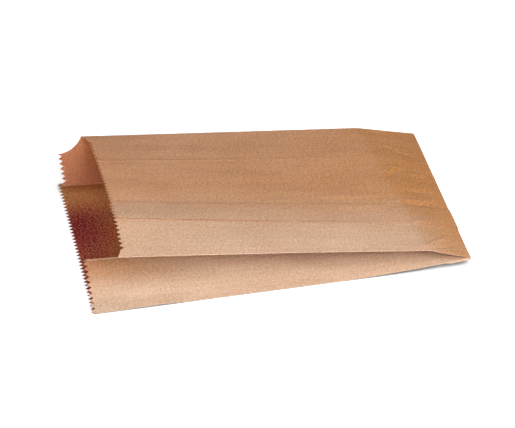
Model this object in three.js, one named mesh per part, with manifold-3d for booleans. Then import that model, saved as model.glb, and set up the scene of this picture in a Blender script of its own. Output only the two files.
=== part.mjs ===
// A brown paper lunch bag that lies on its back panel with its mouth a little open. It is one web
// of kraft paper, folded into a tube with a gusset on each side, glued along the front, and pinched,
// folded under and glued at the bottom. Millimetres, +Z up, mouth towards -X, near side towards -Y.
import * as THREE from "three";
import { mergeVertices } from "three/addons/utils/BufferGeometryUtils.js";
import Module from "manifold-3d";

// The paper, and the outline of the folded bag.
const paper = 0.2; // thickness of one layer
const layerGap = 0.1; // air between layers that lie on each other
const bagLength = 261.5; // tooth tips at the mouth to the nose of the bottom fold
const panelWidth = 152; // front and back panels, fold to fold
const gussetHalf = 39.2; // half of a gusset, from an outer fold to its centre fold

// The serrated mouth. The front panel is cut back to a lip, with a notch over each of its folds.
const toothPitch = 3.8; // wanted pitch, fitted to whole teeth on each panel
const toothDepth = 2.9;
const lipSetback = 22.7; // mouth's tooth tips to the lip's tooth tips
const notchOnGusset = 14; // where each notch starts, measured from the front fold
const notchOnFront = 9.5; // where it meets the lip, measured from the same fold
const notchSpare = 2.4; // how much deeper than the lip the notch's ellipse would run

// The glued seam on the front panel. The far flap lies over the near flap.
const seamFromNearFold = 34.2; // near fold to the cut edge of the upper flap
const seamOverlap = 18.8;
const seamRamp = 1.5; // width over which the upper flap comes down beside the lower flap's edge
const seamSlip = 0.7; // how far the near flap sticks out of the mouth past the far one

// How the bag stands open: heights of its front folds over the table, how much each bows up between
// its ends, and its sideways shift at the mouth, towards the far side.
const nearFold = { mouth: 44.2, bend: 16.5, bendToBottom: 28.4, bow: 0.8, shift: 4.6 };
const farFold = { mouth: 39.4, bend: 16.9, bendToBottom: 41.4, bow: 0, shift: 2.4 };
const archHeight = 10.5; // how far the seam's cut edge stands over the folds' chord at the mouth
const archFullness = 0.3; // bulge of the panel between the near fold and that edge
const archPower = 1.5; // how roundly the panel falls from there to the far fold
const bottomLift = 5.3; // rise of the back panel at the bottom fold
const liftLength = 103; // length over which it rises

// The bottom: the pinched layers are folded under the back panel and glued to it.
const turnedFlap = 16;
const glueWidth = 4;
const noseBulge = 0.03; // how much fuller the folded nose is for each layer turned under

// Glued layers are fused: how deep what lies on a layer ends in it, from that layer's middle.
const lapDepth = 0.2 * paper; // lower side of the seam's upper flap, over the middle
const rampFoot = 0.4 * paper; // upper side of the same flap at the foot of its ramp, over the middle
const foldDepth = 0.25 * paper; // upper side and ends of the bottom's glued layers, inside the middle

// How finely curves are divided.
const arcSteps = 10;
const longStep = 40; // longest step along the bag where its folds run straight
const shortStep = 15; // longest step where the back panel curves up
const edgeMargin = 4; // from the deepest cut edge to the first of those steps
const teethAcross = 3; // the arched panel is divided across at every third tooth
const tiny = 1e-6; // widths closer than this are the same

const layer = paper + layerGap;
const gussetLayers = 4;
const panelLayers = 2;
const foldedThickness = 3 * layer + paper;
const pinch = bagLength - noseRadius(gussetLayers) + paper; // where the layers turn under
const mouthBand = lipSetback + toothDepth + notchSpare + edgeMargin; // the cut edges lie in it

// Radius of the folded nose where a number of layers is turned under.
function noseRadius(layers) {
  return (foldedThickness + layers * layer) / 2 + layers * noseBulge;
}

// Pitch that fits whole teeth to a width.
function fittedPitch(width) {
  return width / Math.round(width / toothPitch);
}

// The seam's edges on the front panel, from the near fold. Both lie at the root of a tooth.
const panelPitch = fittedPitch(panelWidth);
const lapEdge = Math.round(seamFromNearFold / panelPitch) * panelPitch;
const hiddenEdge = Math.round((seamFromNearFold + seamOverlap) / panelPitch) * panelPitch;
const rampEnd = hiddenEdge + seamRamp;

// Height of the back panel's middle surface: on the table, then a parabola up to the bottom fold.
function backHeight(x) {
  const rising = Math.max(0, x - (pinch - liftLength));
  return paper / 2 + bottomLift * (rising / liftLength) ** 2;
}

// Height of a front fold: one run from the mouth to its bend, with its bow, and one straight down to
// the bottom.
function frontHeight(fold, x) {
  const bendAt = pinch - fold.bendToBottom;
  const pinched = backHeight(pinch) + 3 * layer;
  const bowed = fold.bow * Math.sin((Math.PI * x) / bendAt);
  if (x < bendAt) return THREE.MathUtils.lerp(fold.mouth, fold.bend, x / bendAt) + bowed;
  return THREE.MathUtils.lerp(fold.bend, pinched, (x - bendAt) / fold.bendToBottom);
}

// Rise of the front panel over the chord between its folds, at w from the near fold. It is highest
// along the seam's cut edge, and fades as a parabola from the mouth to the bottom.
function frontArch(w, x) {
  const near = Math.min(w / lapEdge, 1);
  const far = Math.max((w - lapEdge) / (panelWidth - lapEdge), 0);
  const across = near + archFullness * near * (1 - near) - far ** archPower;
  return archHeight * across * (1 - x / pinch) ** 2;
}

// One side of the section at x, from the back panel's edge up to the front panel's edge. Each fold
// is a pair of corners a layer apart, so that the folded layers lie flat on each other at the
// bottom. The gusset's halves keep their width, which sets how far its centre fold reaches inwards.
// The lean is the front panel's sideways shift for each millimetre that the side stands open.
function sideCorners(fold, x, edge, inward) {
  const low = backHeight(x);
  const open = frontHeight(fold, x) - low - 3 * layer;
  const lean = (fold.shift * open) / fold.mouth ** 2;
  const half = (open / 2) * Math.hypot(1, lean);
  const reach = Math.sqrt(gussetHalf ** 2 - half ** 2) / Math.hypot(1, lean);
  const centreY = edge + (open * lean) / 2 + inward * reach;
  const centreZ = low + layer + open / 2 - inward * reach * lean;
  const topY = edge + open * lean;
  return [
    new THREE.Vector2(edge, low),
    new THREE.Vector2(edge, low + layer),
    new THREE.Vector2(centreY, centreZ),
    new THREE.Vector2(centreY, centreZ + layer),
    new THREE.Vector2(topY, low + open + 2 * layer),
    new THREE.Vector2(topY, low + open + 3 * layer),
  ];
}

// The twelve corners of the paper's middle surface at x, as (y, z), from the back panel's near
// edge round by the near gusset, the front panel and the far gusset.
function sectionCorners(x) {
  const near = sideCorners(nearFold, x, 0, 1);
  const far = sideCorners(farFold, x, panelWidth, -1);
  return [...near, ...far.reverse()];
}

// The section's corners moved outwards by a distance, with mitred corners.
function offsetCorners(corners, distance) {
  const outward = (a, b) => new THREE.Vector2(a.y - b.y, b.x - a.x).normalize();
  return corners.map((corner, i) => {
    const before = outward(corners.at(i - 1), corner);
    const after = outward(corner, corners[(i + 1) % corners.length]);
    const mitre = before.clone().add(after).divideScalar(1 + before.dot(after));
    return corner.clone().addScaledVector(mitre, distance);
  });
}

// Depth of a row of teeth at w, with its roots on whole pitches and its tips at a setback.
function toothLine(w, pitch, setback) {
  const phase = w / pitch - Math.floor(w / pitch);
  return setback + toothDepth * Math.abs(1 - 2 * phase);
}

// The teeth's outline from one width to another, as points (w, x).
function toothPoints(from, to, pitch, setback) {
  const half = pitch / 2;
  const points = [new THREE.Vector2(from, toothLine(from, pitch, setback))];
  for (let k = Math.floor(from / half + tiny) + 1; k * half < to - tiny; k++) {
    points.push(new THREE.Vector2(k * half, setback + (k % 2 ? 0 : toothDepth)));
  }
  points.push(new THREE.Vector2(to, toothLine(to, pitch, setback)));
  return points;
}

// The tooth tip nearest to a width.
function nearestTip(width, pitch) {
  return (Math.round(width / pitch - 0.5) + 0.5) * pitch;
}

// The notch over a front fold: part of an ellipse about a point on the mouth line, from a tooth
// tip on the gusset to a tooth tip of the lip. Its parts are given from the fold, inwards positive.
function notchArcs(setback) {
  const start = gussetHalf - nearestTip(gussetHalf - notchOnGusset, fittedPitch(gussetHalf));
  const end = nearestTip(notchOnFront, fittedPitch(panelWidth));
  const depth = setback + notchSpare;
  const share = Math.sqrt(1 - (setback / depth) ** 2);
  const centre = (end + share * start) / (1 - share);
  const width = centre + start;
  const angleAt = (q) => Math.acos((q - centre) / width);
  const arc = (from, to) =>
    new THREE.EllipseCurve(centre, 0, width, depth, angleAt(from), angleAt(to), true);
  return {
    onGusset: arc(-start, 0).getPoints(arcSteps),
    onFront: arc(0, end).getPoints(arcSteps),
  };
}

// Points (w, x) turned end for end on a panel of a given width.
function mirrored(points, width) {
  return points.map((p) => new THREE.Vector2(width - p.x, p.y)).reverse();
}

// The cut edge of a gusset's upper half, from its centre fold to the front fold.
function upperHalfEdge(arcs) {
  const moved = arcs.onGusset.map((p) => new THREE.Vector2(gussetHalf + p.x, p.y));
  const teeth = toothPoints(0, moved[0].x, fittedPitch(gussetHalf), 0);
  return [...teeth.slice(0, -1), ...moved];
}

// A strip as narrower ones, divided at roots of its teeth so that it can follow an arch.
function splitAcross(strip) {
  const step = teethAcross * panelPitch;
  const parts = [[strip.edge[0]]];
  for (const point of strip.edge.slice(1)) {
    parts.at(-1).push(point);
    const onStep = Math.abs(point.x / step - Math.round(point.x / step)) < tiny;
    if (onStep && point !== strip.edge.at(-1)) parts.push([point]);
  }
  return parts.map((edge) => ({ ...strip, edge }));
}

// The tube's strips in the order of the section's corners. Each has the two corners between which
// it lies, the width between them, its cut edge over the part of that width that it covers, and, on
// the front panel, its rise over the chord between those corners.
function tubeStrips() {
  const nearLip = lipSetback - seamSlip;
  const nearNotch = notchArcs(nearLip);
  const farNotch = notchArcs(lipSetback);
  const pitch = panelPitch;
  const nearStart = nearNotch.onFront.at(-1).x;
  const farEnd = panelWidth - farNotch.onFront.at(-1).x;
  const step = new THREE.Vector2(hiddenEdge, lipSetback + toothDepth);
  const half = gussetHalf;
  const lowerHalf = toothPoints(0, half, fittedPitch(half), 0);
  const hem = (from, depth) => ({
    from,
    width: layer,
    edge: [new THREE.Vector2(0, depth), new THREE.Vector2(layer, depth)],
  });
  const front = (edge) => splitAcross({ from: 5, width: panelWidth, edge, rise: frontArch });
  const nearTeeth = toothPoints(nearStart, lapEdge, pitch, nearLip);
  const farTeeth = toothPoints(rampEnd, farEnd, pitch, lipSetback);
  return {
    tube: [
      hem(0, toothDepth),
      { from: 1, width: half, edge: lowerHalf },
      hem(2, toothDepth),
      { from: 3, width: half, edge: upperHalfEdge(nearNotch) },
      hem(4, nearNotch.onFront[0].y),
      ...front([...nearNotch.onFront.slice(0, -1), ...nearTeeth]),
      ...front([...toothPoints(lapEdge, hiddenEdge, pitch, nearLip), step]),
      ...front(toothPoints(hiddenEdge, rampEnd, pitch, lipSetback)),
      ...front([...farTeeth, ...mirrored(farNotch.onFront, panelWidth).slice(1)]),
      hem(6, farNotch.onFront[0].y),
      { from: 7, width: half, edge: mirrored(upperHalfEdge(farNotch), half) },
      hem(8, toothDepth),
      { from: 9, width: half, edge: lowerHalf },
      hem(10, toothDepth),
      { from: 11, width: panelWidth, edge: toothPoints(0, panelWidth, pitch, 0) },
    ],
    lap: [
      ...front(toothPoints(lapEdge, hiddenEdge, pitch, lipSetback)),
      ...front(toothPoints(hiddenEdge, rampEnd, pitch, lipSetback)),
    ],
  };
}

// Places along the bag where the folded sheet is divided behind its cut edge.
function stations() {
  const liftAt = pinch - liftLength;
  const bends = [farFold, nearFold].map((fold) => pinch - fold.bendToBottom);
  const marks = [mouthBand, liftAt, ...bends, pinch].sort((a, b) => a - b);
  const places = [marks[0]];
  for (const mark of marks.slice(1)) {
    const from = places.at(-1);
    const longest = mark > liftAt ? shortStep : longStep;
    const count = Math.ceil((mark - from) / longest);
    for (let k = 1; k <= count; k++) places.push(from + ((mark - from) * k) / count);
  }
  return places;
}

// A sheet between two skins over the given strips, as one closed solid. Skins are distances from
// the paper's middle surface, outwards positive, as functions of w.
class Sheet {
  constructor(upper, lower) {
    this.skins = [upper, lower];
    this.points = [];
    this.faces = [];
    this.found = new Map();
  }

  place(strip, point, distance) {
    const corners = offsetCorners(sectionCorners(point.y), distance);
    const from = corners[strip.from];
    const to = corners[(strip.from + 1) % corners.length];
    const across = from.clone().lerp(to, point.x / strip.width);
    const rise = strip.rise ? strip.rise(point.x, point.y) : 0;
    return new THREE.Vector3(point.y, across.x, across.y + rise);
  }

  vertex(strip, point) {
    const middle = this.place(strip, point, 0);
    const key = middle.toArray().map((value) => Math.round(value * 1000)).join();
    if (!this.found.has(key)) {
      this.found.set(key, this.points.length);
      this.points.push(this.skins.map((skin) => this.place(strip, point, skin(point.x))));
    }
    return this.found.get(key);
  }

  polygon(strip, outline) {
    const ids = outline.map((point) => this.vertex(strip, point));
    const triangles = THREE.ShapeUtils.triangulateShape(outline, []);
    for (const triangle of triangles) this.faces.push(triangle.map((k) => ids[k]));
  }

  strip(strip, places) {
    const left = strip.edge[0].x;
    const right = strip.edge.at(-1).x;
    const back = (x) => [new THREE.Vector2(right, x), new THREE.Vector2(left, x)];
    this.polygon(strip, [...strip.edge, ...back(places[0])]);
    for (let k = 1; k < places.length; k++) {
      this.polygon(strip, [...back(places[k - 1]).reverse(), ...back(places[k])]);
    }
  }

  // Edges that only one triangle has are the sheet's border, which gets a rim.
  geometry() {
    const edges = new Set();
    for (const [a, b, c] of this.faces) {
      for (const edge of [[a, b], [b, c], [c, a]]) edges.add(edge.join());
    }
    const positions = [];
    const add = (...corners) => corners.forEach((corner) => positions.push(...corner.toArray()));
    const [upper, lower] = [0, 1].map((side) => this.points.map((pair) => pair[side]));
    for (const [a, b, c] of this.faces) {
      add(upper[c], upper[b], upper[a]);
      add(lower[a], lower[b], lower[c]);
    }
    for (const edge of edges) {
      const [a, b] = edge.split(",").map(Number);
      if (edges.has(`${b},${a}`)) continue;
      add(upper[a], upper[b], lower[a]);
      add(upper[b], lower[b], lower[a]);
    }
    return new THREE.BufferGeometry().setAttribute(
      "position",
      new THREE.Float32BufferAttribute(positions, 3),
    );
  }
}

function sheetGeometry(strips, upper, lower) {
  const sheet = new Sheet(upper, lower);
  const places = stations();
  for (const strip of strips) sheet.strip(strip, places);
  return sheet.geometry();
}

// The bottom fold between two places across the bag: the pinched layers, the round nose, and the
// flap turned under the back panel, with a number of layers in it.
function bottomFold(from, to, layers) {
  const flapBottom = (x) => backHeight(x) - paper / 2 - layers * layer;
  const middle = (backHeight(pinch) + 3 * layer + flapBottom(pinch) + paper / 2) / 2;
  const turn = pinch - paper;
  const flapEnd = turn - turnedFlap;
  const gluedTo = turn - glueWidth;
  const count = Math.ceil(turnedFlap / glueWidth);
  const profile = new THREE.Shape();
  profile.absarc(turn, middle, noseRadius(layers), Math.PI / 2, -Math.PI / 2, true);
  for (let k = 1; k <= count; k++) {
    const x = turn - (turnedFlap * k) / count;
    profile.lineTo(x, flapBottom(x));
  }
  for (let k = count; k >= 0; k--) {
    const x = turn - (turnedFlap * k) / count;
    if (x <= gluedTo) profile.lineTo(x, backHeight(x));
  }
  const frontAt = (x) => Math.min(frontHeight(nearFold, x), frontHeight(farFold, x));
  profile.lineTo(gluedTo, frontAt(gluedTo) - foldDepth);
  profile.lineTo(turn, frontAt(turn) - foldDepth);
  return new THREE.ExtrudeGeometry(profile, {
    depth: to - from,
    bevelEnabled: false,
    curveSegments: arcSteps,
  })
    .rotateX(Math.PI / 2)
    .translate(0, to, 0);
}

const wasm = await Module();
wasm.setup();

// A closed geometry as a solid for joining.
function solidFrom(geometry) {
  const bare = geometry.index ? geometry.toNonIndexed() : geometry.clone();
  bare.deleteAttribute("normal");
  bare.deleteAttribute("uv");
  const merged = mergeVertices(bare, 1e-4);
  return new wasm.Manifold(
    new wasm.Mesh({
      numProp: 3,
      vertProperties: merged.attributes.position.array,
      triVerts: new Uint32Array(merged.index.array),
    }),
  );
}

function geometryFrom(solid) {
  const mesh = solid.getMesh();
  return new THREE.BufferGeometry()
    .setAttribute("position", new THREE.BufferAttribute(mesh.vertProperties, 3))
    .setIndex(new THREE.BufferAttribute(mesh.triVerts, 1))
    .toNonIndexed();
}

// The upper flap of the seam, one layer thick over the layer beneath it, in which both its lower
// side and the foot of its ramp end.
function seamLap(strips) {
  const flapTop = paper / 2 + paper;
  const overTop = (w) => (w < rampEnd - seamRamp / 2 ? flapTop : rampFoot);
  return sheetGeometry(strips, overTop, () => lapDepth);
}

function bagGeometry() {
  const { tube, lap } = tubeStrips();
  const pieces = [
    sheetGeometry(tube, () => paper / 2, () => -paper / 2),
    seamLap(lap),
    bottomFold(foldDepth, panelWidth - foldDepth, panelLayers),
    bottomFold(foldDepth, gussetHalf - foldDepth, gussetLayers),
    bottomFold(panelWidth - gussetHalf + foldDepth, panelWidth - foldDepth, gussetLayers),
  ];
  const joined = pieces.map(solidFrom).reduce((whole, piece) => whole.add(piece));
  const geometry = geometryFrom(joined);
  geometry.computeBoundingBox();
  const { min, max } = geometry.boundingBox;
  return geometry.translate(-(min.x + max.x) / 2, -(min.y + max.y) / 2, -min.z);
}

const kraft = new THREE.MeshStandardMaterial({ color: 0xba8b64, roughness: 0.85, metalness: 0 });
const bag = new THREE.Mesh(bagGeometry(), kraft);
bag.name = "paper_bag";
bag.geometry.computeVertexNormals();

const lunchBag = new THREE.Group();
lunchBag.add(bag);
export default lunchBag;
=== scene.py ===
"""Looks of a brown paper lunch bag that lies on its back panel with its mouth a little open.

The whole bag is one web of kraft paper. The web is worked out on one grid: s runs across it, from
the cut edge of the glued seam's upper flap round the tube to the edge hidden under that flap, and x
runs along it, from the serrated mouth to the bottom fold and on round it. Bag lengths are in
millimetres until they go into a mesh. On the front panel w is the distance from its near fold.
"""
import math

import bpy
import numpy as np
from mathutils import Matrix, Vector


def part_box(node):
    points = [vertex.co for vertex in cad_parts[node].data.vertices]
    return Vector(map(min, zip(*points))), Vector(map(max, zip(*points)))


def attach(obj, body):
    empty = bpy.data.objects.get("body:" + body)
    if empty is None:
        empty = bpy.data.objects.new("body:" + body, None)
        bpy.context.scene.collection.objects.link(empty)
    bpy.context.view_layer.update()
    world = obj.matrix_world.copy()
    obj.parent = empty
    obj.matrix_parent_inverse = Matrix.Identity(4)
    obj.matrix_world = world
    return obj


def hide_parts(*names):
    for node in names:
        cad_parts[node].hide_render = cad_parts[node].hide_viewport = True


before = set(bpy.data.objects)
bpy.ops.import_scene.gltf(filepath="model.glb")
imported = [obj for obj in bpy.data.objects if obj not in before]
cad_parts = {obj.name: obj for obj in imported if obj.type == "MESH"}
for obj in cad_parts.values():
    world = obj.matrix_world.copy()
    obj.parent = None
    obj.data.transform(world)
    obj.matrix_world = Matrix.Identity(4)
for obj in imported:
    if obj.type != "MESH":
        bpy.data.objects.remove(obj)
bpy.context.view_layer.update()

MM = 0.001

# The folded bag.
LENGTH = 261.5
WIDTH = 152.0
GUSSET = 39.2  # half of a gusset, from a front or back fold to its centre fold
LAYER = 0.3  # pitch of layers that lie on each other
STACK = 3 * LAYER  # from the back panel up to the front panel where the bag is flat
PAPER = 0.16  # thickness of the sheet
NOSE = 0.2  # inner radius of the bottom fold
PINCH = LENGTH - NOSE - STACK - PAPER
FLAP = 16.0  # what is turned under at the bottom
SIDE_GAP = 0.1  # from the side of the solid's box to the near back fold

# The serrated mouth.
PANEL_PITCH = 3.8
GUSSET_PITCH = 3.92
TOOTH = 2.9
LIP = 22.7
NEAR_LIP = 22.0
NOTCH_ON_GUSSET = 13.72
NOTCH_ON_FRONT = 9.5
NEAR_NOTCH_ON_FRONT = 5.7
NOTCH_SPARE = 2.4

# The glued seam: its visible cut edge, the edge hidden under it, and how the upper flap lies over.
SEAM = 34.2
HIDDEN = 53.2
LAP_LIFT = 0.5
LAP_RAMP = 4.5

# How the bag stands open at its near and far fold: the front panel's height at the mouth and at the
# bend line, the bend line's distance from the pinch, and how far the front fold is shifted towards
# the far side over the back one at the mouth.
NEAR = {"mouth": 44.2, "bend": 16.5, "run": 28.4, "shift": 4.6}
FAR = {"mouth": 39.4, "bend": 16.9, "run": 41.4, "shift": 2.4}
NEAR_BOW = 0.8
BEND_SOFTNESS = 0.3
ARCH = 10.5
ARCH_FULLNESS = 0.3
ARCH_POWER = 1.5
LIFT = 5.3
LIFT_LENGTH = 103.0
FOLD_RADIUS = 0.42
FOLD_SAMPLES = 7

# The tube's twelve corners lie in pairs at its folds. Each span goes from a corner to the next one:
# that corner, the width between the two, and the part of the width that the web covers.
SPANS = (
    (5, WIDTH, SEAM, WIDTH),
    (6, LAYER, 0, LAYER),
    (7, GUSSET, 0, GUSSET),
    (8, LAYER, 0, LAYER),
    (9, GUSSET, 0, GUSSET),
    (10, LAYER, 0, LAYER),
    (11, WIDTH, 0, WIDTH),
    (0, LAYER, 0, LAYER),
    (1, GUSSET, 0, GUSSET),
    (2, LAYER, 0, LAYER),
    (3, GUSSET, 0, GUSSET),
    (4, LAYER, 0, LAYER),
    (5, WIDTH, 0, HIDDEN),
)
STARTS = np.cumsum([0.0] + [end - start for _, _, start, end in SPANS])

# Corners at which the front panel, its two folds and the upper halves of the gussets start.
FRONT_CORNER = 5
FRONT_FOLD_CORNERS = (4, 6)
NEAR_UPPER_CORNER = 3
FAR_UPPER_CORNER = 7

# Numbers of spans. The far side's spans come before the back panel.
FRONT_SPANS = (0, 12)
GUSSET_SPANS = (2, 4, 8, 10)
BACK_SPAN = 6
NEAR_LOWER_SPAN = 8
NEAR_SIDE_SPANS = (7, 8, 9, 10, 11)

# The grid's places across and along the web.
FRONT_PLACES_PER_TOOTH = 4
PLACES_PER_TOOTH = 2
BESIDE_FOLD = np.array([0.15, 0.35, 0.6, 1.0])
BESIDE_NOTCH = np.array([-0.03, 0.03, 0.12, 0.3, 0.6])
TEETH_STATIONS = (0, 0.8, 1.6, 2.4, 3.2, 4.2, 5.4, 7.0, 9.0, 11.5)
RUN_START = 14.5
RUN_END = 200.0
RUN_STATIONS = 44
BOTTOM_START = 201.5
BOTTOM_STATIONS = 40
NOSE_STATIONS = 8
FLAP_STATIONS = 6
TEETH_FADE = 9.0  # how far behind the cut edge the grid still follows the teeth

# Cockles: seed, height, shortest and longest wavelength. They fade over the still distances before
# a fold and the pinch. On the front that fade has come as far as its lead at the fold itself.
BROAD_COCKLES = (3, 0.16, 24, 60)
FINE_COCKLES = (4, 0.08, 9, 20)
GUSSET_COCKLES = (8, 0.22, 16, 45)
WAVE_COUNT = 7
WAVE_LEAN = 0.35
FRONT_STILL = 7.0
FRONT_STILL_LEAD = 0.15
GUSSET_STILL = 6.0
PINCH_STILL = 9.0

# Creases of the front panel, each from one point (w, x) to another, with its height and width. The
# first is the far gusset's centre fold, pressed through. All heights take CREASE_STRENGTH.
CREASE_STRENGTH = 2.6
FRONT_CREASES = (
    ((113.2, -40), (113.2, 210), 0.13, 0.9),
    ((86, 222), (104, 241), -0.34, 1.9),
    ((92, 220), (109, 239), 0.22, 2.6),
    ((125, 236), (117, 258), -0.2, 1.6),
    ((133, 228), (127, 252), 0.18, 2.2),
    ((51, 214), (61, 257), -0.3, 2.2),
    ((57, 214), (67, 257), 0.26, 2.8),
    ((72, 232), (75, 256), -0.2, 1.5),
    ((96, 238), (98, 258), 0.2, 1.6),
    ((2, 226), (24, 254), 0.42, 1.7),
    ((1, 231), (14, 256), -0.3, 1.4),
    ((30, 220), (41, 250), 0.2, 2.2),
    ((64, 160), (66, 222), 0.14, 3.0),
)

# Where the near lower fold comes off the table: a bell along the bag, which ends further in and up.
EDGE_LIFT = 0.7
EDGE_LIFT_AT = 42.0
EDGE_LIFT_SPREAD = 20.0
EDGE_LIFT_IN = 16.0
EDGE_LIFT_UP = 10.0

# Painted sheen and painted shade of the outside: the share of its lighter, lit tone. Pairs are
# where a change starts, or ends where it falls, and its run.
PLAIN_PAINTED_SHEEN = 0.2
GUSSET_PAINTED_SHEEN = 1.15
PAINTED_SHEEN_BAND = (5, 78)
# Painted shade at the front panel's bottom end.
BOTTOM_PAINTED_SHADE = 0.75
BOTTOM_PAINTED_SHADE_ALONG = (218, 40)
# Painted shade on the near gusset's lower half by the mouth, under the near fold.
MOUTH_PAINTED_SHADE = 0.6
MOUTH_PAINTED_SHADE_ACROSS = (12, 22)
MOUTH_PAINTED_SHADE_ALONG = (95, 80)

# Depth of the inside's maroon, painted shade on the back panel, over the distance from its near
# fold and x.
INSIDE_SHADE_ACROSS = (140, 38)
INSIDE_SHADE_NEAR_LOSS = 0.2
INSIDE_SHADE_NEAR = (90, 25)
INSIDE_SHADE_LOSS = 0.65
INSIDE_SHADE_ALONG = (8, 35)

# The paper's tones, and the tone of light that comes through it. The lighter outside tone is the
# paper's tone with painted sheen.
DEEP_KRAFT = (0.54, 0.247, 0.078)
SHEEN_PAINTED_KRAFT = (0.61, 0.416, 0.272)
INSIDE_KRAFT = (0.43, 0.235, 0.15)
BACK_KRAFT = (0.68, 0.33, 0.125)
# Painted maroon shade inside the back panel.
MAROON_PAINTED_SHADE = (0.31, 0.038, 0.038)
THROUGH_KRAFT = (1.0, 0.53, 0.19)
GRAIN_TINT = (1.0, 0.9, 0.7)

# The two skins: the plain tone, the tones that attributes mix over it, how far patches shift those
# mixes, and the surface.
# On the outside, the lighter tone is painted sheen, mixed in by its share.
OUTSIDE = {
    "plain": DEEP_KRAFT, "others": (("painted_sheen_and_shade", SHEEN_PAINTED_KRAFT),),
    "drift": 0.15, "roughness": 0.5, "shine": 1.0, "glow": 0.28,
}
# On the inside, depth mixes in the maroon tone as painted shade.
INSIDE = {
    "plain": BACK_KRAFT, "others": (("free", INSIDE_KRAFT), ("depth", MAROON_PAINTED_SHADE)),
    "drift": 0.1, "roughness": 0.9, "shine": 0.05, "glow": 0.5,
}

# The paper's patterns: scale across and along the web in cells per metre, detail and roughness.
CLOUDS = ((34.0, 20.0), 4.0, 0.6)
STREAKS = ((400.0, 16.0), 3.0, 0.6)
MOTTLE = ((520.0, 420.0), 3.0, 0.7)
FIBRES = ((1200.0, 1000.0), 2.0, 0.6)

# How far the patterns move the tones' mix, shade the tone, add grain, raise the bump and roughen.
STREAK_DRIFT = 0.4
CLOUD_SHADE = 0.12
STREAK_SHADE = 0.12
MOTTLE_GRAIN = 0.19
FIBRE_GRAIN = 0.42
MOTTLE_HEIGHT = 0.5
FIBRE_HEIGHT = 0.5
STREAK_HEIGHT = 0.3
MOTTLE_ROUGHNESS = 0.05
STREAK_ROUGHNESS = 0.03
BUMP_STRENGTH = 0.25
BUMP_DISTANCE = 0.00008

# The floor and what is behind it. PAINTED_SHADE_REACH is how far the floor looks for the bag, in
# metres, when it paints shade into its colour.
FLOOR_SIZE = 6.0
FLOOR_DROP = 0.00002
FLOOR_WHITE = (0.9, 0.9, 0.9)
FLOOR_GLOW = 0.58
GLOW_TONE = (0.97, 0.985, 1.0)
BLACK = (0.0, 0.0, 0.0)
SHADE_TONE = (0.05, 0.06, 0.08)
PAINTED_SHADE_REACH = 0.007
PAINTED_SHADE_POWER = 1.3
PAINTED_SHADE_SAMPLES = 8
BACKDROP = (0.8, 0.8, 0.8)
AMBIENT = 0.02

# Softboxes: name, tilt from overhead, compass turn with 0 towards the far side, distance and size
# in metres, and share of LEVEL.
LEVEL = 9.7
SOFTBOXES = (
    ("softbox_camera", 50, 192, 1.6, 0.5, 0.86),
    ("softbox_left_front", 50, 237, 1.6, 0.5, 0.26),
    ("softbox_left_low", 72, 237, 1.6, 0.5, 0.52),
    ("softbox_left_edge", 83, 282, 1.6, 0.5, 0.20),
    ("softbox_far", 50, 12, 1.6, 0.5, 0.50),
    ("softbox_far_low", 72, 12, 1.6, 0.5, 0.09),
    ("softbox_near_right", 35, 147, 0.75, 0.3, 0.28),
    ("softbox_near_right_low", 60, 147, 0.75, 0.3, 0.36),
)

# The camera looks at a point of the table, given from the bag's near corner at the mouth.
CAMERA_LENS = 192.73
CAMERA_ELEVATION = 36.33
CAMERA_TURN = 12.16
CAMERA_DISTANCE = 1926.86
CAMERA_AIM = (131.5, 87.5)


def between(a, b, share):
    """The value a share of the way from a to b."""
    return a + (b - a) * share


def smooth_step(t):
    """0 below 0, 1 above 1, and the cubic 3 t^2 - 2 t^3 between them."""
    t = np.clip(t, 0, 1)
    return t * t * (3 - 2 * t)


def rise(value, start, run):
    """0 up to start, and a smooth step up to 1 over the run behind it."""
    return smooth_step((value - start) / run)


def fall(value, end, run):
    """A smooth step down from 1 over the run before end, and 0 from there on."""
    return smooth_step((end - value) / run)


def back_height(x):
    """The back panel: half a sheet over the table, then a parabola up to the bottom fold."""
    rising = np.maximum(0, x - (PINCH - LIFT_LENGTH)) / LIFT_LENGTH
    return PAPER / 2 + LIFT * rising**2


def front_height(w, x):
    """The front panel's height.

    One run from the mouth to the bend line, straight but for half a sine wave towards the near
    fold, and a straight one down to the bottom, of which the lower one counts, with a hyperbola as
    a soft corner. On top comes an arch across the panel: highest at the seam, a bulging slope on
    its near side and a power of the distance on its far side, faded with the square of the distance
    to the bottom.
    """
    across = w / WIDTH
    mouth = between(NEAR["mouth"], FAR["mouth"], across)
    bend = between(NEAR["bend"], FAR["bend"], across)
    bend_at = PINCH - between(NEAR["run"], FAR["run"], across)
    bottom = back_height(PINCH) + STACK
    bow = NEAR_BOW * (1 - across) * np.sin(np.pi * np.clip(x / bend_at, 0, 1))
    first = between(mouth, bend, x / bend_at) + bow
    second = between(bend, bottom, (x - bend_at) / (PINCH - bend_at))
    lower = (first + second - np.hypot(first - second, BEND_SOFTNESS)) / 2
    near = np.minimum(w / SEAM, 1)
    far = np.maximum((w - SEAM) / (WIDTH - SEAM), 0)
    arch = near + ARCH_FULLNESS * near * (1 - near) - far**ARCH_POWER
    return lower + ARCH * arch * np.clip(1 - x / PINCH, 0, 1) ** 2


def side_corners(fold, w, x, edge, inward):
    """One side's six corners (y, z), from the back panel up to the front panel.

    The two halves of the gusset keep their width: half the opening is one leg of a right triangle,
    the half gusset its long side, and the reach of the centre fold the other leg.
    """
    low = back_height(x)
    opening = front_height(w, x) - low - STACK
    lean = fold["shift"] * opening / fold["mouth"] ** 2
    half = opening / 2 * np.hypot(1, lean)
    reach = np.sqrt(GUSSET**2 - half**2) / np.hypot(1, lean)
    centre_y = edge + opening * lean / 2 + inward * reach
    centre_z = low + LAYER + opening / 2 - inward * reach * lean
    top_y = edge + opening * lean
    return [
        (edge + 0 * x, low),
        (edge + 0 * x, low + LAYER),
        (centre_y, centre_z),
        (centre_y, centre_z + LAYER),
        (top_y, low + opening + 2 * LAYER),
        (top_y, low + opening + STACK),
    ]


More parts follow.
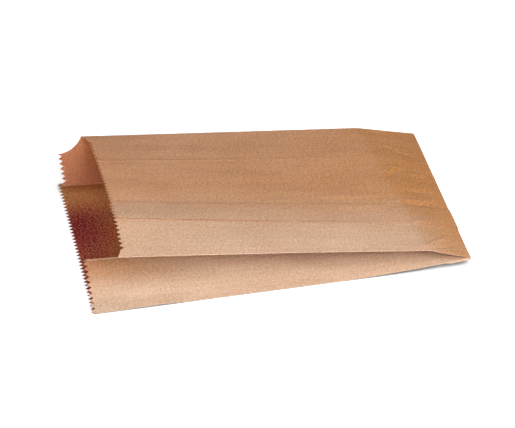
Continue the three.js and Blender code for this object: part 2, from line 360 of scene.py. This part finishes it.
def on_tube(s, x):
    """(y, z) of the tube with sharp folds: straight between the two corners of each span, except
    that the front panel follows its own height, and its upper flap lies over the lower one."""
    s = np.clip(s, 0, STARTS[-1])
    corners = side_corners(NEAR, 0, x, 0.0, 1)
    corners += reversed(side_corners(FAR, WIDTH, x, WIDTH, -1))
    y = np.zeros_like(x)
    z = np.zeros_like(x)
    for (corner, width, start, end), begin in zip(SPANS, STARTS):
        covered = (s >= begin) & (s <= begin + end - start)
        w = np.clip(start + s - begin, start, end)
        (y0, z0), (y1, z1) = corners[corner], corners[(corner + 1) % len(corners)]
        y = np.where(covered, between(y0, y1, w / width), y)
        height = between(z0, z1, w / width)
        if corner == FRONT_CORNER:
            height = front_height(w, x)
        if start == SEAM:
            height = height + LAP_LIFT * (1 - rise(w, HIDDEN, LAP_RAMP))
        z = np.where(covered, height, z)
    return y, z


def on_bag(s, x):
    """(y, z) of the bag: the mean of the sharp tube over a short stretch of s rounds its folds."""
    steps = np.linspace(-1, 1, FOLD_SAMPLES) * FOLD_RADIUS
    ends = [on_tube(s + step, x) for step in steps]
    return np.mean([y for y, _ in ends], axis=0), np.mean([z for _, z in ends], axis=0)


def teeth(w, pitch, setback):
    """A zigzag with its roots on whole pitches and its tips at the setback."""
    return setback + TOOTH * np.abs(1 - 2 * np.mod(w / pitch, 1))


def notch(q, lip, end):
    """Part of an ellipse about a point on the mouth line, q inwards from the front fold: from the
    mouth line on the gusset to the lip on the front panel, which it meets at end."""
    depth = lip + NOTCH_SPARE
    share = math.sqrt(1 - (lip / depth) ** 2)
    centre = (end + share * NOTCH_ON_GUSSET) / (1 - share)
    width = centre + NOTCH_ON_GUSSET
    return depth * np.sqrt(np.clip(1 - ((q - centre) / width) ** 2, 0, 1))


def cut_edge(span, w):
    """(x of the cut edge, x of the same edge without its teeth) at w on one of the spans: teeth
    and a notch on the front panel and on the gussets' upper halves, and teeth on the rest."""
    corner, width, _, _ = SPANS[span]
    far_side = span < BACK_SPAN
    lip = LIP if far_side else NEAR_LIP
    end = NOTCH_ON_FRONT if far_side else NEAR_NOTCH_ON_FRONT
    if corner == FRONT_CORNER:
        q = WIDTH - w if far_side else w
        toothed = q >= end
        edge = np.where(toothed, teeth(w, PANEL_PITCH, lip), notch(q, lip, end))
        return edge, np.where(toothed, lip + TOOTH / 2, edge)
    if corner in FRONT_FOLD_CORNERS:
        edge = notch(0 * w, lip, end)
        return edge, edge
    if width == LAYER:
        return TOOTH + 0 * w, TOOTH / 2 + 0 * w
    if corner in (NEAR_UPPER_CORNER, FAR_UPPER_CORNER):
        q = -(w if far_side else GUSSET - w)
        toothed = q <= -NOTCH_ON_GUSSET
        edge = np.where(toothed, teeth(w, GUSSET_PITCH, 0), notch(q, lip, end))
        return edge, np.where(toothed, TOOTH / 2, edge)
    pitch = PANEL_PITCH if width == WIDTH else GUSSET_PITCH
    return teeth(w, pitch, 0), TOOTH / 2 + 0 * w


def columns():
    """The places across the web, as (span, w): four to a tooth on the front and two elsewhere, with
    more beside the folds and where the notches start."""
    spans, places = [], []
    for number, (corner, width, start, end) in enumerate(SPANS):
        if width == LAYER:
            row = np.array([0.0, LAYER / 2])
        else:
            per_tooth = FRONT_PLACES_PER_TOOTH if corner == FRONT_CORNER else PLACES_PER_TOOTH
            pitch = (GUSSET_PITCH if width == GUSSET else PANEL_PITCH) / per_tooth
            row = np.arange(round(start / pitch), round(end / pitch)) * pitch
            extra = [BESIDE_FOLD, width - BESIDE_FOLD]
            if corner == FAR_UPPER_CORNER:
                extra.append(NOTCH_ON_GUSSET - BESIDE_NOTCH)
            if corner == NEAR_UPPER_CORNER:
                extra.append(GUSSET - NOTCH_ON_GUSSET + BESIDE_NOTCH)
            extra = np.concatenate(extra)
            extra = extra[(extra > start) & (extra < end)]
            row = np.unique(np.round(np.concatenate([row, extra]), 4))
        spans.append(np.full(len(row), number))
        places.append(row)
    spans.append([len(SPANS) - 1])
    places.append([HIDDEN])
    return np.concatenate(spans), np.concatenate(places)


def stations():
    """The places along the bag, as shares of the way from the mouth to the pinch: close at the
    teeth, wide along the straight run, and close again over the bend and the bottom."""
    run = np.linspace(RUN_START, RUN_END, RUN_STATIONS)
    bottom = np.linspace(BOTTOM_START, PINCH, BOTTOM_STATIONS)
    return np.concatenate([TEETH_STATIONS, run, bottom]) / PINCH


def sheet_grid():
    """The web's middle surface: (x, y, z) of each grid point, its developed (s, x), and its tones.

    Rows go from the cut edge to the pinch, then round the nose as half circles whose radius grows
    with the layer's height over the back panel, and back under it as the turned flap.
    """
    span, w = columns()
    s = STARTS[span] + w - np.array([start for _, _, start, _ in SPANS])[span]
    edge, plain = np.zeros_like(s), np.zeros_like(s)
    for k in range(len(SPANS)):
        here = span == k
        edge[here], plain[here] = cut_edge(k, w[here])
    t = stations()[:, None]
    fade = np.maximum(0, 1 - t * PINCH / TEETH_FADE) ** 2
    x = plain + (PINCH - plain) * t + (edge - plain) * fade
    s_rows = np.broadcast_to(s, x.shape)
    y, z = on_bag(s_rows, x)
    x_bent, y, z = crumple(span, np.broadcast_to(w, x.shape), x, y, z)

    height = z[-1] - back_height(PINCH)
    radius = NOSE + height
    angle = np.linspace(0, np.pi, NOSE_STATIONS)[1:, None]
    nose_x = PINCH + radius * np.sin(angle)
    nose_z = back_height(PINCH) - NOSE + radius * np.cos(angle)
    length = FLAP - np.pi * height + teeth(w, PANEL_PITCH, 0) - TOOTH
    back = length * np.linspace(0, 1, FLAP_STATIONS)[1:, None]
    flap_x = PINCH - back
    flap_z = back_height(flap_x) - 2 * NOSE - height
    rows = len(angle) + len(back)
    grid = np.stack([
        np.concatenate([x_bent, nose_x, flap_x]),
        np.concatenate([y, np.broadcast_to(y[-1], (rows, len(s)))]),
        np.concatenate([z, nose_z, flap_z]),
    ], axis=-1)
    developed = np.concatenate([x, PINCH + radius * angle, PINCH + radius * np.pi + back])
    tones = paper_tones(span, np.broadcast_to(w, developed.shape), developed)
    return grid, np.stack([np.broadcast_to(s, developed.shape), developed], axis=-1), tones


def crease(w, x, start, end, height, width):
    """Height of one crease: a bell across the line between two points (w, x), and half a sine wave
    along it."""
    run = np.subtract(end, start)
    length = np.hypot(*run)
    share = ((w - start[0]) * run[0] + (x - start[1]) * run[1]) / length**2
    aside = ((w - start[0]) * run[1] - (x - start[1]) * run[0]) / length
    return height * np.exp(-((aside / width) ** 2)) * np.sin(np.pi * np.clip(share, 0, 1))


def waves(w, x, seed, height, short, long):
    """Cockles: sine waves of random phase and direction, between two wavelengths."""
    draw = np.random.default_rng(seed)
    total = 0 * w
    for _ in range(WAVE_COUNT):
        length = draw.uniform(short, long)
        lean = draw.normal(0, WAVE_LEAN)
        phase = draw.uniform(0, 2 * np.pi)
        total = total + np.sin(2 * np.pi * (w + lean * x) / length + phase)
    return height * total / math.sqrt(WAVE_COUNT)


def crumple(span, w, x, y, z):
    """(x, y, z) moved along the sheet's normal by its creases and cockles, which end where the
    layers are pinched, with the near lower fold lifted off the table a little behind the mouth."""
    grid = np.stack([x, y, z], axis=-1)
    marks = waves(w, x, *BROAD_COCKLES) + waves(w, x, *FINE_COCKLES)
    for start, end, height, width in FRONT_CREASES:
        marks = marks + CREASE_STRENGTH * crease(w, x, start, end, height, width)
    on_front = marks * smooth_step(np.minimum(w, WIDTH - w) / FRONT_STILL + FRONT_STILL_LEAD)
    on_gusset = waves(w, x, *GUSSET_COCKLES) * rise(np.minimum(w, GUSSET - w), 0, GUSSET_STILL)
    aside = np.where(np.isin(span, FRONT_SPANS), on_front,
                     np.where(np.isin(span, GUSSET_SPANS), on_gusset, 0))
    aside = aside * fall(x, PINCH, PINCH_STILL)
    grid = grid + grid_normals(grid) * aside[..., None]
    bell = np.exp(-(((x - EDGE_LIFT_AT) / EDGE_LIFT_SPREAD) ** 2))
    inward = fall(grid[..., 1], EDGE_LIFT_IN, EDGE_LIFT_IN)
    upward = fall(grid[..., 2], EDGE_LIFT_UP, EDGE_LIFT_UP)
    return grid[..., 0], grid[..., 1], grid[..., 2] + EDGE_LIFT * bell * inward * upward


def paper_tones(span, w, x):
    """(painted sheen and shade, depth, free) over the web.

    The first is painted sheen and painted shade on the outside: the share of its lighter, lit tone.
    It falls across the front panel, from 1 at its near fold to 0 past its middle, and fades at the
    bottom end as painted shade. It rises across the back panel from the far fold to the near one,
    and it is highest on the near side but for a corner of its lower half by the mouth, where it
    drops as painted shade under the near fold. Depth is the inside's maroon, painted shade: it
    fills the middle of the back panel near the mouth and fades towards the far side, a little
    towards the near side, and along the bag. Free is 1 where light goes through the paper, which is
    all but the back panel.
    """
    back = span == BACK_SPAN
    # Painted shade towards the front panel's bottom end.
    bottom = 1 - BOTTOM_PAINTED_SHADE * rise(x, *BOTTOM_PAINTED_SHADE_ALONG)
    # Painted sheen across the front panel, less towards the bottom end.
    pale = np.where(np.isin(span, FRONT_SPANS), (1 - rise(w, *PAINTED_SHEEN_BAND)) * bottom, PLAIN_PAINTED_SHEEN)
    # Painted shade in the near gusset's lower corner by the mouth.
    corner = np.where(span == NEAR_LOWER_SPAN, rise(w, *MOUTH_PAINTED_SHADE_ACROSS), 0)
    corner = corner * fall(x, *MOUTH_PAINTED_SHADE_ALONG)
    # Painted sheen on the near side, with painted shade in its corner by the mouth.
    pale = np.where(np.isin(span, NEAR_SIDE_SPANS), GUSSET_PAINTED_SHEEN - MOUTH_PAINTED_SHADE * corner, pale)
    # Painted sheen on the back panel, rising towards its near fold.
    pale = np.where(back, between(PLAIN_PAINTED_SHEEN, 1, rise(w, 0, WIDTH)), pale)
    # Painted maroon shade on the back panel's inside near the mouth.
    inward = WIDTH - w
    inside_shade = fall(inward, *INSIDE_SHADE_ACROSS) * (1 - INSIDE_SHADE_NEAR_LOSS * fall(inward, *INSIDE_SHADE_NEAR))
    inside_shade = np.where(back, inside_shade * (1 - INSIDE_SHADE_LOSS * rise(x, *INSIDE_SHADE_ALONG)), 0)
    return pale, inside_shade, np.where(back, 0, 1) + 0 * x


def grid_normals(grid):
    """Unit normals: the cross product of the grid's two directions, outwards."""
    along = np.gradient(grid, axis=0)
    across = np.gradient(grid, axis=1)
    normal = np.cross(along, across)
    return normal / np.linalg.norm(normal, axis=-1, keepdims=True)


def sheet_mesh(name, grid, developed, tones, origin):
    """A closed sheet: two skins half the paper's thickness either side of the grid, and a rim. The
    outer skin and the rim take material 0 and the inner skin material 1."""
    rows, cols = grid.shape[:2]
    count = rows * cols
    normal = grid_normals(grid)
    skins = np.concatenate([
        (grid + normal * PAPER / 2).reshape(-1, 3),
        (grid - normal * PAPER / 2).reshape(-1, 3),
    ])
    index = np.arange(count).reshape(rows, cols)
    a, b, c, d = index[:-1, :-1], index[1:, :-1], index[1:, 1:], index[:-1, 1:]
    outer_faces = np.stack([a, b, c, d], axis=-1).reshape(-1, 4)
    inner_faces = outer_faces[:, ::-1] + count
    border = np.concatenate([index[0, :], index[1:, -1], index[-1, -2::-1], index[-2::-1, 0]])
    rim = np.stack([border[:-1], border[1:], border[1:] + count, border[:-1] + count], axis=-1)
    faces = np.concatenate([outer_faces, inner_faces, rim])
    mesh = bpy.data.meshes.new(name)
    mesh.vertices.add(len(skins))
    mesh.vertices.foreach_set("co", (skins * MM + origin).astype(np.float32).ravel())
    mesh.loops.add(faces.size)
    mesh.loops.foreach_set("vertex_index", faces.astype(np.int32).ravel())
    mesh.polygons.add(len(faces))
    mesh.polygons.foreach_set("loop_start", np.arange(0, faces.size, 4, dtype=np.int32))
    material = np.zeros(len(faces), dtype=np.int32)
    material[len(outer_faces):2 * len(outer_faces)] = 1
    mesh.polygons.foreach_set("material_index", material)
    mesh.update(calc_edges=True)
    mesh.validate()
    uv = mesh.uv_layers.new(name="sheet")
    flat = np.tile(developed.reshape(-1, 2), (2, 1)) * MM
    uv.data.foreach_set("uv", flat[faces.ravel()].astype(np.float32).ravel())
    for tone_name, values in zip(("painted_sheen_and_shade", "depth", "free"), tones):
        attribute = mesh.attributes.new(tone_name, "FLOAT", "POINT")
        attribute.data.foreach_set("value", np.tile(values.ravel(), 2).astype(np.float32))
    mesh.polygons.foreach_set("use_smooth", np.ones(len(faces), dtype=bool))
    # The rim meets each skin in a sharp edge: both ends on the border, and in the same skin.
    ends = np.zeros(2 * len(mesh.edges), dtype=np.int32)
    mesh.edges.foreach_get("vertices", ends)
    ends = ends.reshape(-1, 2)
    on_border = np.zeros(len(skins), dtype=bool)
    on_border[border] = True
    on_border[border + count] = True
    same_skin = (ends[:, 0] < count) == (ends[:, 1] < count)
    sharp = on_border[ends].all(axis=1) & same_skin
    attribute = mesh.attributes.new("sharp_edge", "BOOLEAN", "EDGE")
    attribute.data.foreach_set("value", sharp)
    piece = bpy.data.objects.new(name, mesh)
    bpy.context.scene.collection.objects.link(piece)
    return piece


class Reading:
    """A number that changes over a surface. Arithmetic on it adds Math nodes."""

    def __init__(self, finish, socket):
        self.finish = finish
        self.socket = socket

    def math(self, operation, a, b):
        """A Math node on two numbers, of which either may be plain."""
        node = self.finish.node("ShaderNodeMath", {"operation": operation}, {0: a, 1: b})
        return Reading(self.finish, node.outputs[0])

    def __add__(self, other):
        return self.math("ADD", self, other)

    def __sub__(self, other):
        return self.math("SUBTRACT", self, other)

    def __rsub__(self, other):
        return self.math("SUBTRACT", other, self)

    def __mul__(self, other):
        return self.math("MULTIPLY", self, other)

    def __pow__(self, other):
        return self.math("POWER", self, other)

    def __rpow__(self, other):
        return self.math("POWER", other, self)

    __radd__ = __add__
    __rmul__ = __mul__


class Finish:
    """A material or a world, and the nodes that are added to it."""

    def __init__(self, owner):
        self.owner = owner
        self.owner.use_nodes = True
        self.tree = owner.node_tree
        self.tree.nodes.clear()

    def node(self, kind, settings=None, sockets=None):
        """A new node: its settings first, then the values or links of its sockets."""
        node = self.tree.nodes.new(kind)
        for key, value in (settings or {}).items():
            setattr(node, key, value)
        for key, value in (sockets or {}).items():
            if isinstance(value, Reading):
                value = value.socket
            if isinstance(value, bpy.types.NodeSocket):
                self.tree.links.new(value, node.inputs[key])
            else:
                node.inputs[key].default_value = value
        return node

    def reading(self, node, output=0):
        """One output of a node."""
        return Reading(self, node.outputs[output])

    def attribute(self, name):
        """What the mesh says at each point under a name."""
        return self.reading(self.node("ShaderNodeAttribute", {"attribute_name": name}), "Fac")

    def noise(self, place, scale, detail, rough):
        """Noise about 0, from -1 to 1, on stretched sheet coordinates."""
        mapped = self.node("ShaderNodeMapping", {"vector_type": "POINT"},
                           {"Vector": place, "Scale": (scale[0], scale[1], 1.0)})
        noise = self.node("ShaderNodeTexNoise", {"noise_dimensions": "2D"},
                          {"Vector": mapped.outputs[0], "Scale": 1.0, "Detail": detail,
                           "Roughness": rough})
        return self.reading(noise) * 2.0 - 1.0

    def mix(self, factor, low, high):
        """A colour from low at 0 to high at 1, and on past them."""
        node = self.node("ShaderNodeMix", {"data_type": "RGBA", "clamp_factor": False},
                         {0: factor, 6: low, 7: high})
        return node.outputs[2]

    def surface(self, shader, output="ShaderNodeOutputMaterial"):
        """Ends the nodes with their output, and hands back the material or world."""
        self.node(output, None, {"Surface": shader.outputs[0]})
        return self.owner


def tone(colour):
    """The colour with the alpha that a colour socket wants."""
    return (*colour, 1.0)


def kraft_skin(name, plain, others, drift, roughness, shine, glow):
    """One skin of the paper: a plain tone, over which named attributes mix other tones, shifted by
    cloudy patches and streaks along the web. Mottle and short fibres make it lighter and darker by
    nearly the same step in every colour, and raise the bump. Some light goes through free paper."""
    finish = Finish(bpy.data.materials.new(name))
    place = finish.node("ShaderNodeUVMap", {"uv_map": "sheet"}).outputs[0]
    clouds = finish.noise(place, *CLOUDS)
    streaks = finish.noise(place, *STREAKS)
    mottle = finish.noise(place, *MOTTLE)
    fibres = finish.noise(place, *FIBRES)
    shift = clouds * drift + streaks * (STREAK_DRIFT * drift)
    base = tone(plain)
    # Some of these mixes are painted light: the outside's lighter tone is painted sheen, and the
    # inside's maroon is painted shade.
    for attribute, other in others:
        base = finish.mix(finish.attribute(attribute) + shift, base, tone(other))
    broad = 1.0 + clouds * CLOUD_SHADE + streaks * STREAK_SHADE
    even = finish.node("ShaderNodeVectorMath", {"operation": "SCALE"},
                       {"Vector": base, "Scale": broad})
    grain = mottle * MOTTLE_GRAIN + fibres * FIBRE_GRAIN
    colour = finish.node("ShaderNodeVectorMath", {"operation": "MULTIPLY_ADD"},
                         {0: grain, 1: GRAIN_TINT, 2: even.outputs[0]})
    height = mottle * MOTTLE_HEIGHT + fibres * FIBRE_HEIGHT + streaks * STREAK_HEIGHT
    bump = finish.node("ShaderNodeBump", None,
                       {"Strength": BUMP_STRENGTH, "Distance": BUMP_DISTANCE, "Height": height})
    rough = roughness + mottle * MOTTLE_ROUGHNESS + streaks * STREAK_ROUGHNESS
    shader = finish.node("ShaderNodeBsdfPrincipled", None, {
        "Base Color": colour.outputs[0], "Roughness": rough, "Normal": bump.outputs[0],
        "Specular IOR Level": shine})
    through = finish.node("ShaderNodeBsdfTranslucent", None,
                          {"Color": tone(THROUGH_KRAFT), "Normal": bump.outputs[0]})
    mixed = finish.node("ShaderNodeMixShader", None, {
        0: finish.attribute("free") * glow, 1: shader.outputs[0], 2: through.outputs[0]})
    return finish.surface(mixed)


def floor_finish():
    """Pale floor: a white diffuse surface that keeps the shadows, with shade painted into its
    colour and its own white close to the bag, and some white of its own for the rays that show the
    background."""
    finish = Finish(bpy.data.materials.new("studio_floor"))
    ray = finish.node("ShaderNodeLightPath")
    seen = finish.reading(ray, "Is Camera Ray") + finish.reading(ray, "Is Glossy Ray")
    seen = seen + finish.reading(ray, "Is Transmission Ray")
    # Ambient occlusion paints shade into the floor's colour and its glow close to the bag.
    close = finish.node("ShaderNodeAmbientOcclusion", {"samples": PAINTED_SHADE_SAMPLES},
                        {"Distance": PAINTED_SHADE_REACH})
    clear = finish.reading(close, "AO") ** PAINTED_SHADE_POWER
    diffuse = finish.node("ShaderNodeBsdfDiffuse", None,
                          {"Color": finish.mix(clear, tone(BLACK), tone(FLOOR_WHITE))})
    glow = finish.node("ShaderNodeEmission", None, {
        "Color": finish.mix(clear, tone(SHADE_TONE), tone(GLOW_TONE)), "Strength": FLOOR_GLOW})
    shown = finish.node("ShaderNodeMixShader", None, {0: seen, 2: glow.outputs[0]})
    both = finish.node("ShaderNodeAddShader", None, {0: diffuse.outputs[0], 1: shown.outputs[0]})
    return finish.surface(both)


def make_floor():
    """A square floor just under the bag."""
    half = FLOOR_SIZE / 2
    mesh = bpy.data.meshes.new("floor")
    outline = ((-half, -half), (half, -half), (half, half), (-half, half))
    mesh.from_pydata([(x, y, -FLOOR_DROP) for x, y in outline], [], [(0, 1, 2, 3)])
    floor = bpy.data.objects.new("floor", mesh)
    mesh.materials.append(floor_finish())
    bpy.context.scene.collection.objects.link(floor)


def make_world():
    """A pale backdrop for the camera, and a little ambient light for all other rays."""
    world = Finish(bpy.data.worlds.new("studio"))
    ray = world.node("ShaderNodeLightPath")
    ambient = world.node("ShaderNodeBackground", None,
                         {"Color": tone(BACKDROP), "Strength": AMBIENT})
    backdrop = world.node("ShaderNodeBackground", None, {"Color": tone(BACKDROP)})
    mixed = world.node("ShaderNodeMixShader", None, {
        0: world.reading(ray, "Is Camera Ray"), 1: ambient.outputs[0], 2: backdrop.outputs[0]})
    bpy.context.scene.world = world.surface(mixed, "ShaderNodeOutputWorld")


def make_softbox(name, tilt, turn, distance, size, power):
    """A square softbox that faces the middle of the bag."""
    data = bpy.data.lights.new(name, "AREA")
    data.shape = "RECTANGLE"
    data.size, data.size_y = size, size
    data.energy = power
    lamp = bpy.data.objects.new(name, data)
    tilt, turn = math.radians(tilt), math.radians(turn)
    lamp.location = (
        distance * math.sin(tilt) * math.sin(turn),
        distance * math.sin(tilt) * math.cos(turn),
        distance * math.cos(tilt),
    )
    lamp.rotation_euler = (-tilt, 0, -turn)
    bpy.context.scene.collection.objects.link(lamp)


def make_camera(origin):
    """The camera stands its distance from the aim, at its elevation, turned about the vertical."""
    data = bpy.data.cameras.new("camera")
    data.lens = CAMERA_LENS
    data.sensor_fit = "HORIZONTAL"
    camera = bpy.data.objects.new("camera", data)
    up, turn = math.radians(CAMERA_ELEVATION), math.radians(CAMERA_TURN)
    away = CAMERA_DISTANCE * math.cos(up)
    camera.location = (
        origin[0] + (CAMERA_AIM[0] - away * math.sin(turn)) * MM,
        origin[1] + (CAMERA_AIM[1] - away * math.cos(turn)) * MM,
        origin[2] + CAMERA_DISTANCE * math.sin(up) * MM,
    )
    camera.rotation_euler = (math.pi / 2 - up, 0, -turn)
    bpy.context.scene.collection.objects.link(camera)
    bpy.context.scene.camera = camera


low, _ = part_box("paper_bag")
bag_origin = np.array([low[0], low[1] + SIDE_GAP * MM, low[2]])
grid, developed, tones = sheet_grid()
sheet = sheet_mesh("kraft_sheet", grid, developed, tones, bag_origin)
sheet.data.materials.append(kraft_skin("kraft_outside", **OUTSIDE))
sheet.data.materials.append(kraft_skin("kraft_inside", **INSIDE))
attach(sheet, "root")
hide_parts("paper_bag")

make_floor()
make_world()
for name, tilt, turn, distance, size, share in SOFTBOXES:
    make_softbox(name, tilt, turn, distance, size, share * LEVEL)
make_camera(bag_origin)
bpy.context.scene.view_settings.view_transform = "Standard"
